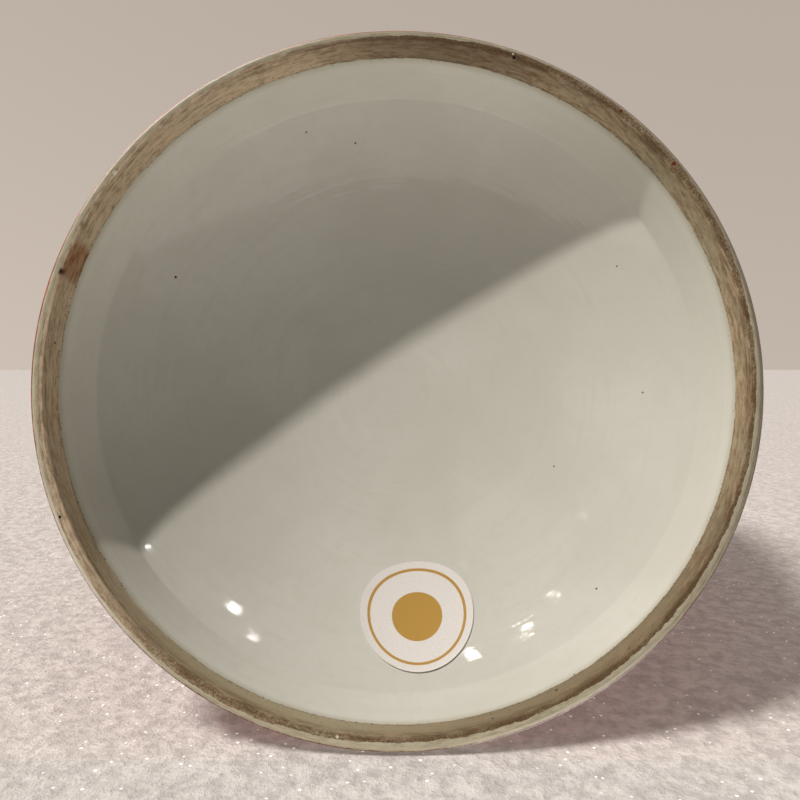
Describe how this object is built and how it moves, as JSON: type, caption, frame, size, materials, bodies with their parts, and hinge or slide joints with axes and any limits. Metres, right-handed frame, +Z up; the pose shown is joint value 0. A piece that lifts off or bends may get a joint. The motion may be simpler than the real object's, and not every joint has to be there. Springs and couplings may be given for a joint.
{
  "type": "pear-shaped vase",
  "caption": "Pear-shaped porcelain bottle vase with a slender neck, a flared mouth, a turned foot ring and a deeply vaulted white base.",
  "frame": {"origin": "centre of the foot ring's resting face, where the vase's axis meets the surface that it stands on", "axes": "+Z up the vase's axis of turning, from the foot to the mouth; the label lies on the base between +X and -Y"},
  "size_m": [0.162, 0.162, 0.285],
  "materials": {
    "coral_enamel": "gloss coral-red enamel brushed over a white glaze",
    "white_glaze": "gloss, slightly green-grey white glaze with pinholes",
    "bare_biscuit": "unglazed foot rim, turned, worn and stained",
    "luting_slip": "fired slip under the enamel",
    "label_paper": "matt white paper with a plain gold border"
  },
  "bodies": {
    "root": {"lower_body": "coral_enamel", "belly_luting_slip": "luting_slip", "upper_body": "coral_enamel", "neck_luting_slip": "luting_slip", "neck_and_mouth": "coral_enamel", "paper_label": "label_paper"}
  },
  "joints": []
}
